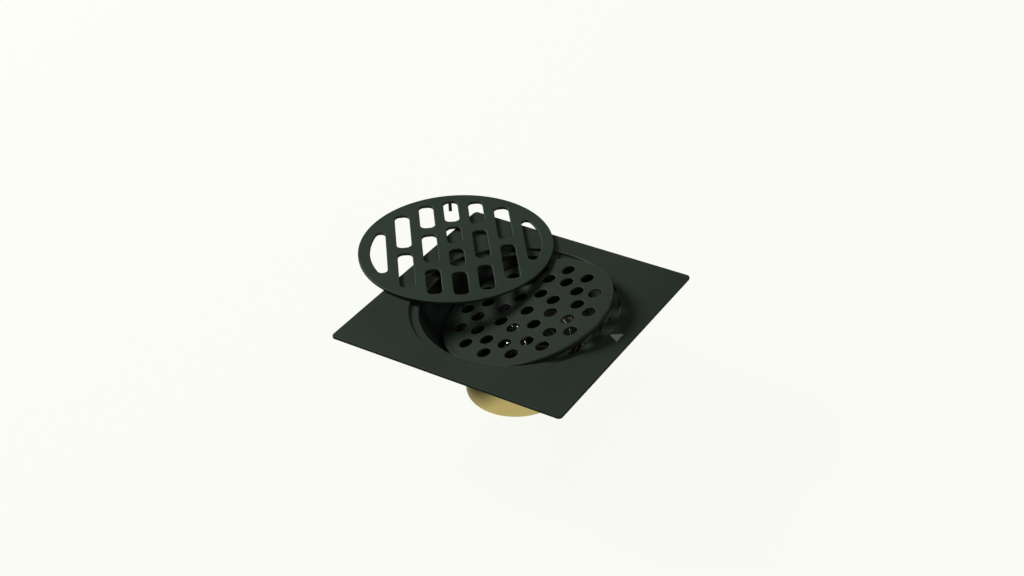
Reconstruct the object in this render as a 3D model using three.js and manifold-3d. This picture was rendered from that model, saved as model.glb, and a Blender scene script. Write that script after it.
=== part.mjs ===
// Square floor drain with a round slotted cover, a perforated strainer and a
// spring-closed odour trap. Millimetres, +Z up. Origin: centre of the outlet's lower rim.
import * as THREE from 'three';
import Module from 'manifold-3d';

// ---------- panel ----------
const PANEL_SIDE = 100;          // standard 10 cm square drain
const PANEL_CORNER_R = 1.6;
const SHEET_T = 1.2;             // pressed sheet, panel and cover
const PANEL_TOP_Z = 38.5;        // overall depth of the drain below the floor surface
const EDGE_BREAK = 0.3;          // broken edges on sheet parts
const RECESS_R = 40.25;          // the cover drops into this round recess
const RECESS_DEPTH = 1.2;
const RECESS_ROLL = 0.8;         // rolled upper edge of the recess
const LEDGE_W = 3.75;            // ring the cover rests on
const OPENING_LIP = 0.5;
const OPENING_R = RECESS_R - LEDGE_W;

// ---------- clearances ----------
const SEAM = 0.3;                // between neighbours that lie on or in each other
const COVER_PLAY = 0.85;         // cover to recess wall, all round
const LOOSE = 0.6;               // round seals and what drops into place

// ---------- cover ----------
const COVER_R = RECESS_R - COVER_PLAY;
const COVER_ASIDE = COVER_R + 7.4;  // from the drain's axis to the cover laid on the panel
const COVER_SIDE = 151.9;        // degrees, compass direction it is laid off to
const COVER_TURN = 127.6;        // degrees, direction of the slots
const SLOT_W = 6.0;
const SLOT_CORNER_R = 2.3;
const SLOT_PITCH = COVER_R * 0.2614;  // seven columns across the cover
const SLOT_ZONE_R = COVER_R - 4.9;  // no slot comes nearer the edge than this ring
const SIDE_SLOT_CORNER_R = 2.0;
const BRIDGE = 4.25;             // metal left between slots in one column
const BRIDGE_OF_THREE = 5.2;     // the same in the columns of three slots
const MIDDLE_OF_THREE = COVER_R * 0.259;  // half length of the middle slot
const INNER_OF_FOUR = COVER_R * 0.367;    // outer end of the two inner slots
const LUG_SIZE = [1.4, 1.4];     // radial, tangential
const LUG_LENGTH = 3.8;
const LUG_R = OPENING_R - SEAM - LUG_SIZE[0] / 2;  // lugs run just inside the opening

// ---------- strainer ----------
const STRAINER_PLAY = OPENING_R * 0.063;  // all round, loose enough to lean in the opening
const STRAINER_R = OPENING_R - STRAINER_PLAY;
const STRAINER_T = 0.8;
const STRAINER_RIM_H = 2.0;
const STRAINER_RIM_ROLL = 1.2;
const STRAINER_HOLE_R = 2.7;
const STRAINER_RINGS = [         // radius as a share of the strainer's, holes, first hole in degrees
  [0, 1, 0],
  [0.316, 8, 91.7],
  [0.5965, 14, 96.6],
  [0.7865, 14, 83.7],
];
const STRAINER_TILT = 15.3;      // leaning in the opening, low side in the bowl
const STRAINER_LOW_SIDE = -154.5;  // degrees, compass direction of the low side
const STRAINER_AT = [0.1211, 0.0575, -0.0603];  // its top's centre from the panel's, per opening radius

// ---------- bowl and outlet ----------
const WALL_T = 1.2;
const BOWL_FLANGE_W = 4.5;       // flange under the ledge, from the opening out
const BOWL_FLANGE_T = 1.0;
const BOWL_RIM_H = 0.8;          // straight rim above the cone
const CONE_SLOPE = 58;           // degrees; the strainer's rim rests on this cone
const CONE_FOOT_H = 4.0;         // the cone ends this far above the shoulder
const OUTLET_R = 20.4;           // 41 mm spigot
const OUTLET_BORE_R = OUTLET_R - WALL_T;
const SHOULDER_R = OUTLET_R + 3.8;  // flat that carries the trap
const COLLAR_LENGTH = 6;
const LEAN_ROOM = 4.85;          // shoulder to the leaning strainer's lowest point

// ---------- trap ----------
const TRAP_FLANGE_R = SHOULDER_R - LOOSE;
const TRAP_FLANGE_T = 1.4;
const GASKET_T = 1.0;
const TRAP_R = OUTLET_BORE_R - LOOSE - SEAM;
const TRAP_BORE_R = TRAP_R - 2.3;
const TRAP_MOUTH_R = TRAP_BORE_R - 2.6;
const TRAP_LIP_T = 1.6;
const TRAP_BOTTOM_Z = 8.1;       // room below it for the valve to drop
const ORING_SECTION_R = 0.7;
const ORING_DEPTH = 4.6;         // groove centre below the flange
const GROOVE_H = 2.0;
const GROOVE_R = OUTLET_BORE_R - LOOSE - ORING_SECTION_R * 2;
const STEM_R = 1.75;
const STEM_CHAMFER = 0.4;
const BUSH_R = STEM_R + SEAM + 1.25;
const HUB_R = BUSH_R + SEAM + 1.4;
const GUIDE_DEPTH = 3.6;         // top of the guide below the flange's underside
const GUIDE_T = 2.2;
const GUIDE_RIM_W = 1.6;
const GUIDE_ARM_W = 2.2;
const GUIDE_ARMS = 3;
const SPRING_COIL_R = STEM_R + 2.15;
const SPRING_WIRE_R = 0.35;
const SPRING_TURNS = 3.5;
const SPRING_LENGTH = 7.0;
const RETAINER_R = SPRING_COIL_R + 1.5;
const RETAINER_T = 1.0;
const NUT_FLATS = STEM_R * 2 + 2;
const NUT_T = 1.6;
const SEAL_OUTER_R = TRAP_MOUTH_R + 1.6;
const SEAL_INNER_R = TRAP_MOUTH_R - 2;
const SEAL_T = 1.0;
const DISC_R = SEAL_OUTER_R + 0.2;
const DISC_T = 1.4;
const DISC_CHAMFER = [1.0, 0.6];  // across, up
const SCREW_HEAD_R = 3.2;
const SCREW_HEAD_T = 1.5;
const SCREW_HEAD_CHAMFER = [0.8, 0.9];  // across, up
const SCREW_SHANK_R = 0.9;
const SCREW_REACH = 4;           // shank inside the stem
const SCREW_HOLE_DEPTH = SCREW_REACH + 1;

// ---------- alignment mark ----------
// a small triangle on the panel points at the opening; shares of the room beside the recess
const MARK_ROOM = PANEL_SIDE / 2 - RECESS_R - RECESS_ROLL;
const MARK_AT = RECESS_R + RECESS_ROLL + MARK_ROOM * 0.2625;
const MARK_SIZE = [MARK_ROOM * 0.492, MARK_ROOM * 0.626];  // along the pointing direction, across it
const MARK_DEPTH = 0.25;
const MARK_ASIDE = 1.1;          // it stands a little beside the panel's middle line

const ROUND = 48;                // facets round large circles
const ROUND_FINE = 72;           // round the opening and the strainer's edge
const ROUND_TRAP = 32;           // round the trap
const ROUND_SMALL = 20;          // round the stem and what is on it
const ROUND_HOLE = 10;           // round each strainer hole
const CORNER_STEPS = 3;          // round each slot corner
const ARC_STEPS = 12;            // along a side slot's curved edge
const WIRE_SIDES = 6;
const WIRE_STEPS = 16;           // along one turn of the spring
const CUT = 1;                   // how far cutters run past a face

const wasm = await Module();
wasm.setup();
const deg = THREE.MathUtils.degToRad;

// ---------- solids ----------
function solidFrom(geometry) {
  const g = geometry.index ? geometry.toNonIndexed() : geometry;
  const src = g.attributes.position;
  const seen = new Map();
  const verts = [];
  const tris = [];
  for (let i = 0; i < src.count; i += 3) {
    const ids = [];
    for (let k = 0; k < 3; k++) {
      const p = [src.getX(i + k), src.getY(i + k), src.getZ(i + k)];
      const key = p.map((v) => Math.round(v * 1e4)).join(' ');
      if (!seen.has(key)) {
        seen.set(key, verts.length / 3);
        verts.push(...p);
      }
      ids.push(seen.get(key));
    }
    if (ids[0] !== ids[1] && ids[1] !== ids[2] && ids[0] !== ids[2]) tris.push(...ids);
  }
  return new wasm.Manifold(new wasm.Mesh({
    numProp: 3,
    vertProperties: new Float32Array(verts),
    triVerts: new Uint32Array(tris),
  }));
}

function geometryFrom(solid) {
  const m = solid.getMesh();
  const out = new Float32Array(m.triVerts.length * 3);
  for (let i = 0; i < m.triVerts.length; i++) {
    for (let k = 0; k < 3; k++) out[i * 3 + k] = m.vertProperties[m.triVerts[i] * m.numProp + k];
  }
  const g = new THREE.BufferGeometry();
  g.setAttribute('position', new THREE.BufferAttribute(out, 3));
  g.computeVertexNormals();
  return g;
}

// turn a closed [radius, z] outline about Z
function turned(outline, facets = ROUND) {
  const points = outline.map(([r, z]) => new THREE.Vector2(r, z));
  const onAxis = outline[0][0] === 0 && outline[outline.length - 1][0] === 0;
  if (!onAxis) points.push(points[0].clone());
  const g = new THREE.LatheGeometry(points, facets);
  g.rotateX(Math.PI / 2);
  return solidFrom(g);
}

function ring(inner, outer, z0, z1, facets = ROUND) {
  if (inner === 0) return turned([[0, z0], [outer, z0], [outer, z1], [0, z1]], facets);
  return turned([[inner, z0], [outer, z0], [outer, z1], [inner, z1]], facets);
}

// quarter-round points from angle a0 to a1 (degrees) about [cx, cz]
function arc(cx, cz, r, a0, a1, steps = 4) {
  const pts = [];
  for (let i = 0; i <= steps; i++) {
    const a = deg(a0 + ((a1 - a0) * i) / steps);
    pts.push([cx + r * Math.cos(a), cz + r * Math.sin(a)]);
  }
  return pts;
}

function roundedBox(path, x0, x1, y0, y1, r, steps = CORNER_STEPS) {
  const corners = [[x1 - r, y0 + r, -90], [x1 - r, y1 - r, 0], [x0 + r, y1 - r, 90], [x0 + r, y0 + r, 180]];
  let first = true;
  for (const [cx, cy, a] of corners) {
    for (const [x, y] of arc(cx, cy, r, a, a + 90, steps)) {
      if (first) path.moveTo(x, y);
      else path.lineTo(x, y);
      first = false;
    }
  }
  path.closePath();
  return path;
}

// plate of the given thickness with both faces' edges broken, its underside at z = 0
function plate(shape, thickness, edge = EDGE_BREAK) {
  const g = new THREE.ExtrudeGeometry(shape, {
    depth: thickness - 2 * edge,
    bevelEnabled: true,
    bevelThickness: edge,
    bevelSize: edge,
    bevelOffset: -edge,
    bevelSegments: 1,
    curveSegments: ROUND_FINE / 2,
  });
  g.translate(0, 0, edge);
  return g;
}

function prism(sides, acrossFlats, z0, z1) {
  const r = acrossFlats / 2 / Math.cos(Math.PI / sides);
  const g = new THREE.CylinderGeometry(r, r, z1 - z0, sides);
  g.rotateX(Math.PI / 2);
  g.translate(0, 0, (z0 + z1) / 2);
  return solidFrom(g);
}

// ---------- levels ----------
const lean = deg(STRAINER_TILT);
const strainerAt = STRAINER_AT.map((share) => share * OPENING_R);
const leanDepth = -strainerAt[2] + STRAINER_R * Math.sin(lean) + STRAINER_RIM_H * Math.cos(lean);
const ledgeZ = PANEL_TOP_Z - RECESS_DEPTH;
const ledgeUnderZ = ledgeZ - SHEET_T;
const bowlTopZ = ledgeUnderZ - SEAM;
const shoulderZ = PANEL_TOP_Z - leanDepth - LEAN_ROOM;
const gasketZ = shoulderZ + SEAM;
const flangeZ = gasketZ + GASKET_T + SEAM;
const guideTopZ = flangeZ - GUIDE_DEPTH;
const springZ = guideTopZ + SEAM;
const retainerZ = springZ + SPRING_LENGTH + SEAM;
const nutZ = retainerZ + RETAINER_T + SEAM;
const stemTopZ = nutZ + NUT_T + SEAM;
const sealTopZ = TRAP_BOTTOM_Z - SEAM;
const sealZ = sealTopZ - SEAL_T;
const discTopZ = sealZ - SEAM;
const discZ = discTopZ - DISC_T;
const screwTopZ = discZ - SEAM;
const coverAt = [COVER_ASIDE * Math.cos(deg(COVER_SIDE)), COVER_ASIDE * Math.sin(deg(COVER_SIDE))];

// ---------- pieces ----------
function panel() {
  const half = PANEL_SIDE / 2;
  const square = roundedBox(new THREE.Shape(), -half, half, -half, half, PANEL_CORNER_R);
  const sheet = plate(square, SHEET_T);
  sheet.translate(0, 0, PANEL_TOP_Z - SHEET_T);
  const pressed = ring(0, RECESS_R + SHEET_T, ledgeUnderZ, PANEL_TOP_Z - SHEET_T / 2);
  const cutter = turned([
    [0, ledgeUnderZ - CUT],
    [OPENING_R, ledgeUnderZ - CUT],
    ...arc(OPENING_R + OPENING_LIP, ledgeZ - OPENING_LIP, OPENING_LIP, 180, 90),
    ...arc(RECESS_R + RECESS_ROLL, PANEL_TOP_Z - RECESS_ROLL, RECESS_ROLL, 180, 90),
    [RECESS_R + RECESS_ROLL, PANEL_TOP_Z + CUT],
    [0, PANEL_TOP_Z + CUT],
  ], ROUND_FINE);
  const [along, across] = MARK_SIZE;
  const mark = new THREE.Shape();
  mark.moveTo(MARK_AT - along / 2, 0);
  mark.lineTo(MARK_AT + along / 2, -across / 2);
  mark.lineTo(MARK_AT + along / 2, across / 2);
  mark.closePath();
  const engraver = new THREE.ExtrudeGeometry(mark, { depth: MARK_DEPTH + CUT, bevelEnabled: false });
  engraver.translate(0, MARK_ASIDE, PANEL_TOP_Z - MARK_DEPTH);
  return solidFrom(sheet).add(pressed).subtract(cutter).subtract(solidFrom(engraver));
}

// the same path moved sideways by the wall's thickness, to the outside of the bowl
function outsideOf(path, thickness) {
  const normals = path.slice(1).map(([r, z], i) => {
    const along = new THREE.Vector2(r - path[i][0], z - path[i][1]).normalize();
    return new THREE.Vector2(-along.y, along.x);
  });
  return path.map(([r, z], i) => {
    const a = normals[Math.max(i - 1, 0)];
    const b = normals[Math.min(i, normals.length - 1)];
    const move = a.clone().add(b).multiplyScalar(thickness / (1 + a.dot(b)));
    return [r + move.x, z + move.y];
  });
}

function bowl() {
  const coneTopZ = bowlTopZ - BOWL_RIM_H;
  const coneFootZ = shoulderZ + CONE_FOOT_H;
  const coneFootR = OPENING_R - (coneTopZ - coneFootZ) / Math.tan(deg(CONE_SLOPE));
  const inside = [
    [OPENING_R, bowlTopZ],
    [OPENING_R, coneTopZ],
    [coneFootR, coneFootZ],
    [SHOULDER_R, shoulderZ],
    [OUTLET_R + SEAM, shoulderZ],
    [OUTLET_R + SEAM, shoulderZ - COLLAR_LENGTH],
  ];
  const flangeR = OPENING_R + BOWL_FLANGE_W;
  const [, ...outside] = outsideOf(inside, WALL_T);
  return turned([
    ...inside,
    ...outside.reverse(),
    [OPENING_R + WALL_T, bowlTopZ - BOWL_FLANGE_T],
    [flangeR, bowlTopZ - BOWL_FLANGE_T],
    [flangeR, bowlTopZ],
  ]);
}

const outlet = () => ring(OUTLET_BORE_R, OUTLET_R, 0, shoulderZ - SEAM);

// end-to-end spans of the slots in one column, given how many there are
function slotSpans(count, reach) {
  const outer = (from) => [[from, reach], [-reach, -from]];
  if (count === 2) return outer(BRIDGE / 2);
  if (count === 3) return [[-MIDDLE_OF_THREE, MIDDLE_OF_THREE], ...outer(MIDDLE_OF_THREE + BRIDGE_OF_THREE)];
  return [[BRIDGE / 2, INNER_OF_FOUR], [-INNER_OF_FOUR, -BRIDGE / 2], ...outer(INNER_OF_FOUR + BRIDGE)];
}

// half the length a shape may have at distance u from the middle, its corners inside the slot zone
function slotReach(u, corner) {
  return corner + Math.sqrt((SLOT_ZONE_R - corner) ** 2 - (u - corner) ** 2);
}

// slot at the side, one straight edge and one along the slot zone's ring
function sideSlot(side) {
  const chord = 3 * SLOT_PITCH - SLOT_W / 2;
  const c = SIDE_SLOT_CORNER_R;
  const cy = slotReach(chord + 2 * c, c) - c;
  const swing = THREE.MathUtils.radToDeg(Math.atan2(cy, chord + c));
  const points = [
    ...arc(chord + c, -cy, c, 180, 360 - swing, CORNER_STEPS),
    ...arc(0, 0, SLOT_ZONE_R, -swing, swing, ARC_STEPS),
    ...arc(chord + c, cy, c, swing, 180, CORNER_STEPS),
  ].filter(([x, y], i, all) => !i || Math.hypot(x - all[i - 1][0], y - all[i - 1][1]) > 1e-6);
  return new THREE.Path(points.map(([x, y]) => new THREE.Vector2(side * x, side * y))).closePath();
}

function cover() {
  const disc = new THREE.Shape();
  disc.absarc(0, 0, COVER_R, 0, Math.PI * 2);
  for (const [step, count] of [[0, 4], [1, 3], [2, 2]]) {
    for (const side of step ? [-1, 1] : [1]) {
      const u = side * step * SLOT_PITCH;
      const reach = slotReach(Math.abs(u) + SLOT_W / 2, SLOT_CORNER_R);
      for (const [a, b] of slotSpans(count, reach)) {
        disc.holes.push(roundedBox(new THREE.Path(), u - SLOT_W / 2, u + SLOT_W / 2, a, b, SLOT_CORNER_R));
      }
    }
  }
  disc.holes.push(sideSlot(-1), sideSlot(1));
  const g = plate(disc, SHEET_T);
  g.rotateZ(deg(COVER_TURN - 90));
  g.translate(coverAt[0], coverAt[1], PANEL_TOP_Z + SEAM);
  return solidFrom(g);
}

function lug(end) {
  const a = deg(COVER_TURN + (end > 0 ? 0 : 180));
  const g = new THREE.BoxGeometry(LUG_SIZE[0], LUG_SIZE[1], LUG_LENGTH);
  g.rotateZ(a);
  g.translate(
    coverAt[0] + LUG_R * Math.cos(a),
    coverAt[1] + LUG_R * Math.sin(a),
    PANEL_TOP_Z - LUG_LENGTH / 2,
  );
  return solidFrom(g);
}

function strainer() {
  const roll = STRAINER_RIM_ROLL;
  const flatR = STRAINER_R - roll;
  const skin = turned([
    [0, -STRAINER_T],
    ...arc(flatR, -roll, roll - STRAINER_T, 90, 0, 2),
    [STRAINER_R - STRAINER_T, -STRAINER_RIM_H],
    [STRAINER_R, -STRAINER_RIM_H],
    ...arc(flatR, -roll, roll, 0, 90),
    [0, 0],
  ], ROUND_FINE);
  let solid = skin;
  for (const [share, count, start] of STRAINER_RINGS) {
    const r = share * STRAINER_R;
    for (let i = 0; i < count; i++) {
      const a = deg(start + (360 * i) / count);
      const g = new THREE.CylinderGeometry(STRAINER_HOLE_R, STRAINER_HOLE_R, STRAINER_T + 2 * CUT, ROUND_HOLE);
      g.rotateX(Math.PI / 2);
      g.translate(r * Math.cos(a), r * Math.sin(a), -STRAINER_T / 2);
      solid = solid.subtract(solidFrom(g));
    }
  }
  const dir = deg(STRAINER_LOW_SIDE);
  const normal = new THREE.Vector3(
    Math.sin(lean) * Math.cos(dir), Math.sin(lean) * Math.sin(dir), Math.cos(lean),
  );
  const across = new THREE.Vector3(1, 0, 0).addScaledVector(normal, -normal.x).normalize();
  const pose = new THREE.Matrix4().makeBasis(across, normal.clone().cross(across), normal);
  const g = geometryFrom(solid);
  g.applyMatrix4(pose);
  g.translate(strainerAt[0], strainerAt[1], PANEL_TOP_Z + strainerAt[2]);
  return solidFrom(g);
}

function trapHousing() {
  const grooveZ = flangeZ - ORING_DEPTH;
  return turned([
    [TRAP_BORE_R, flangeZ + TRAP_FLANGE_T],
    [TRAP_BORE_R, TRAP_BOTTOM_Z + TRAP_LIP_T],
    [TRAP_MOUTH_R, TRAP_BOTTOM_Z + TRAP_LIP_T],
    [TRAP_MOUTH_R, TRAP_BOTTOM_Z],
    [TRAP_R, TRAP_BOTTOM_Z],
    [TRAP_R, grooveZ - GROOVE_H / 2],
    [GROOVE_R, grooveZ - GROOVE_H / 2],
    [GROOVE_R, grooveZ + GROOVE_H / 2],
    [TRAP_R, grooveZ + GROOVE_H / 2],
    [TRAP_R, flangeZ],
    [TRAP_FLANGE_R, flangeZ],
    [TRAP_FLANGE_R, flangeZ + TRAP_FLANGE_T],
  ], ROUND_TRAP);
}

const gasket = () => ring(TRAP_R + SEAM, TRAP_FLANGE_R - SEAM, gasketZ, gasketZ + GASKET_T, ROUND_TRAP);

function oring() {
  const section = arc(GROOVE_R + SEAM + ORING_SECTION_R, flangeZ - ORING_DEPTH, ORING_SECTION_R, 0, 315, 7);
  return turned(section, ROUND_TRAP);
}

function guide() {
  const z0 = guideTopZ - GUIDE_T;
  const outerR = TRAP_BORE_R - SEAM;
  let solid = ring(outerR - GUIDE_RIM_W, outerR, z0, guideTopZ, ROUND_TRAP)
    .add(ring(0, HUB_R, z0, guideTopZ, ROUND_SMALL));
  const armLength = outerR - GUIDE_RIM_W / 2;
  for (let i = 0; i < GUIDE_ARMS; i++) {
    const arm = new THREE.BoxGeometry(armLength, GUIDE_ARM_W, GUIDE_T);
    arm.translate(armLength / 2, 0, z0 + GUIDE_T / 2);
    arm.rotateZ((Math.PI * 2 * i) / GUIDE_ARMS + deg(30));
    solid = solid.add(solidFrom(arm));
  }
  return solid.subtract(ring(0, BUSH_R + SEAM, z0 - CUT, guideTopZ + CUT, ROUND_SMALL));
}

const bush = () => ring(STEM_R + SEAM, BUSH_R, guideTopZ - GUIDE_T, guideTopZ, ROUND_SMALL);

function stem() {
  const body = turned([
    [0, sealZ],
    [STEM_R, sealZ],
    [STEM_R, stemTopZ - STEM_CHAMFER],
    [STEM_R - STEM_CHAMFER, stemTopZ],
    [0, stemTopZ],
  ], ROUND_SMALL);
  const drilled = ring(0, SCREW_SHANK_R + SEAM, sealZ - CUT, sealZ + SCREW_HOLE_DEPTH, ROUND_SMALL);
  return body.subtract(drilled);
}

// round wire wound about Z, ends capped
function spring() {
  const around = WIRE_SIDES;
  const steps = Math.round(SPRING_TURNS * WIRE_STEPS);
  const rise = SPRING_LENGTH - 2 * SPRING_WIRE_R;
  const at = (i, k) => {
    const a = (Math.PI * 2 * SPRING_TURNS * i) / steps;
    const w = (Math.PI * 2 * k) / around;
    const r = SPRING_COIL_R + SPRING_WIRE_R * Math.cos(w);
    const z = springZ + SPRING_WIRE_R + (rise * i) / steps + SPRING_WIRE_R * Math.sin(w);
    return [r * Math.cos(a), r * Math.sin(a), z];
  };
  const out = [];
  const quad = (a, b, c, d) => out.push(...a, ...b, ...c, ...a, ...c, ...d);
  for (let i = 0; i < steps; i++) {
    for (let k = 0; k < around; k++) quad(at(i, k), at(i + 1, k), at(i + 1, k + 1), at(i, k + 1));
  }
  for (let k = 1; k < around - 1; k++) {
    out.push(...at(0, 0), ...at(0, k), ...at(0, k + 1));
    out.push(...at(steps, 0), ...at(steps, k + 1), ...at(steps, k));
  }
  const g = new THREE.BufferGeometry();
  g.setAttribute('position', new THREE.BufferAttribute(new Float32Array(out), 3));
  return solidFrom(g);
}

const retainer = () => ring(STEM_R + SEAM, RETAINER_R, retainerZ, retainerZ + RETAINER_T, ROUND_SMALL);

const nut = () => prism(6, NUT_FLATS, nutZ, nutZ + NUT_T)
  .subtract(ring(0, STEM_R + SEAM, nutZ - CUT, nutZ + NUT_T + CUT, ROUND_SMALL));

function valveDisc() {
  return turned([
    [SCREW_SHANK_R + SEAM, discTopZ],
    [SCREW_SHANK_R + SEAM, discZ],
    [DISC_R - DISC_CHAMFER[0], discZ],
    [DISC_R, discZ + DISC_CHAMFER[1]],
    [DISC_R, discTopZ],
  ], ROUND_TRAP);
}

const seal = () => ring(SEAL_INNER_R, SEAL_OUTER_R, sealZ, sealTopZ, ROUND_TRAP);

const clampPlate = () => ring(STEM_R + SEAM, SEAL_INNER_R - SEAM, sealZ, sealTopZ - SEAM, ROUND_TRAP);

function discScrew() {
  const headZ = screwTopZ - SCREW_HEAD_T;
  return turned([
    [0, headZ],
    [SCREW_HEAD_R - SCREW_HEAD_CHAMFER[0], headZ],
    [SCREW_HEAD_R, headZ + SCREW_HEAD_CHAMFER[1]],
    [SCREW_HEAD_R, screwTopZ],
    [SCREW_SHANK_R, screwTopZ],
    [SCREW_SHANK_R, sealZ + SCREW_REACH],
    [0, sealZ + SCREW_REACH],
  ], ROUND_SMALL);
}

// ---------- assembly ----------
const BLACK = { color: 0x2c312b, metalness: 0.7, roughness: 0.42 };
const BRASS = { color: 0xb39b62, metalness: 1.0, roughness: 0.35 };
const STEEL = { color: 0xb4b6b8, metalness: 1.0, roughness: 0.3 };
const PLASTIC = { color: 0x262726, metalness: 0.0, roughness: 0.5 };
const RUBBER = { color: 0x1b1b1b, metalness: 0.0, roughness: 0.8 };

const pieces = [
  ['panel', panel, BLACK],
  ['bowl', bowl, BRASS],
  ['outlet_spigot', outlet, BRASS],
  ['cover_grille', cover, BLACK],
  ['cover_lug_far', () => lug(1), BLACK],
  ['cover_lug_near', () => lug(-1), BLACK],
  ['strainer_disc', strainer, BLACK],
  ['trap_housing', trapHousing, PLASTIC],
  ['trap_flange_gasket', gasket, RUBBER],
  ['trap_side_oring', oring, RUBBER],
  ['stem_guide', guide, PLASTIC],
  ['stem_bush', bush, BRASS],
  ['return_spring', spring, STEEL],
  ['valve_stem', stem, STEEL],
  ['spring_retainer', retainer, STEEL],
  ['retainer_nut', nut, STEEL],
  ['valve_disc', valveDisc, PLASTIC],
  ['valve_seal', seal, RUBBER],
  ['seal_clamp_plate', clampPlate, STEEL],
  ['disc_screw', discScrew, STEEL],
];

const group = new THREE.Group();
group.name = 'floor_drain';
for (const [name, make, look] of pieces) {
  const mesh = new THREE.Mesh(geometryFrom(make()), new THREE.MeshStandardMaterial(look));
  mesh.name = name;
  group.add(mesh);
}
export default group;
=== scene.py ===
import math

import bmesh
import bpy
from mathutils import Matrix, Vector, geometry


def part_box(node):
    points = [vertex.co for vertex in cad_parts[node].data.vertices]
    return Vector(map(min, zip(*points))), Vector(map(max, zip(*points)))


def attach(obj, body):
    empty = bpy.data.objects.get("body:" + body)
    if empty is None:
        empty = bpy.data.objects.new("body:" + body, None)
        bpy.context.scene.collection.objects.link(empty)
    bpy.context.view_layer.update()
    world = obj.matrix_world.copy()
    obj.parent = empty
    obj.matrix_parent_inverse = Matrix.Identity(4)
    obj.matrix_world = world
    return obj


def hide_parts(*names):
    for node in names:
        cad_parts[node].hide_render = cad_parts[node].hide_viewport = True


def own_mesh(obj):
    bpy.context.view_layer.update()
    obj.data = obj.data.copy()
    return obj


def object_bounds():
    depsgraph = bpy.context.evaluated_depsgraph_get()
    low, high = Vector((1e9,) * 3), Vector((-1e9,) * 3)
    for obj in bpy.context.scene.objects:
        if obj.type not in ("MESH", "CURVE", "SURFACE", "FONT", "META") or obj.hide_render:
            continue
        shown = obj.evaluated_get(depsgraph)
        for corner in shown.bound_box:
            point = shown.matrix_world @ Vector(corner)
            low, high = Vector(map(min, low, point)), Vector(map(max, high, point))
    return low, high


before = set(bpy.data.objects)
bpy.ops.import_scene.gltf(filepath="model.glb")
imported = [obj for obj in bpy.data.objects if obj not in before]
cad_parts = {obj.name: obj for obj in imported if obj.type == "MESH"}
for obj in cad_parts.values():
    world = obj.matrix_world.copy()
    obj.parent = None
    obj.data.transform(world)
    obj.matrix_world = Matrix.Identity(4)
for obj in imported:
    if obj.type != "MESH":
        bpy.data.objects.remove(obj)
CAD_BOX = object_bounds()

MM = 0.001
TAU = 2 * math.pi
ROUND, ROUND_MID, ROUND_SMALL = 288, 128, 64    # steps round large, middling and small circles
TINY = 1e-6                                     # a length that counts as nothing
NEARLY_STRAIGHT = math.radians(178)             # a corner flatter than this isn't rounded
CORNER_SHARE = 0.48                             # most of a side that the rounding of one corner takes
WITHIN = 0.998                                  # keeps a smooth round inside the CAD's facets


def box_mm(node):
    lo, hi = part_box(node)
    return lo / MM, hi / MM


# ---------- sizes as in the CAD, in millimetres ----------
SHEET_T = 1.2
RECESS_R, OPENING_R, RECESS_DEPTH, RECESS_ROLL = 40.25, 36.5, 1.2, 0.8
PANEL_CORNER_R = 1.6
MARK_AT, MARK_ASIDE, MARK_SIZE, MARK_DEPTH = 43.4, 1.1, (4.4, 5.6), 0.25
COVER_TURN = math.radians(127.6)
SLOT_W, SLOT_CORNER_R, SLOT_PITCH, SLOT_ZONE_R, SIDE_SLOT_CORNER_R = 6.0, 2.3, 10.3, 34.5, 2.0
BRIDGE, BRIDGE_OF_THREE, MIDDLE_OF_THREE, INNER_OF_FOUR = 4.25, 5.2, 10.2, 14.46
LUG_HALF = 0.7
STRAINER_R, STRAINER_T, STRAINER_RIM_H, STRAINER_RIM_ROLL, STRAINER_HOLE_R = 34.2, 0.8, 2.0, 1.2, 2.7
# each ring of holes: its radius, how many holes, the direction of the first in degrees
STRAINER_RINGS = [(0, 1, 0), (10.8, 8, 91.7), (20.4, 14, 96.6), (26.9, 14, 83.7)]
BOWL_NECK, BOWL_FLANGE, SPIGOT_T = 6, 1.0, 1.2
BOWL_SEAT_R, BOWL_CONE_R, BOWL_CONE_RISE = 24.2, 29.94, 4
BOWL_OUTER_SEAT_R, BOWL_OUTER_CONE_R, BOWL_OUTER_CONE_RISE, BOWL_OUTER_R = 24.58, 30.83, 3.16, 37.72
TRAP_R, TRAP_BORE, TRAP_MOUTH_R, TRAP_MOUTH_T, TRAP_FLANGE_T = 18.3, 16, 13.4, 1.6, 1.4
GROOVE_DOWN, GROOVE_HALF, GROOVE_R = 6.0, 1, 17.2
STEM_HOLE_R, STEM_BORE, SPRING_WIRE_R, SPRING_R = 2.05, 1.2, 0.35, 3.9
NUT_FLAT_R, SCREW_HEAD_H, SCREW_SHANK_R = 2.75, 1.5, 0.9

PANEL_LO, PANEL_HI = box_mm("panel")
TOP_Z = PANEL_HI.z

# radii of rounded edges: the lower edge, then the upper
PANEL_EDGES, COVER_EDGES, SLOT_EDGES, HOLE_EDGES = (0.2, 0.3), (0.25, 0.35), (0.12, 0.3), (0.1, 0.28)


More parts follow.
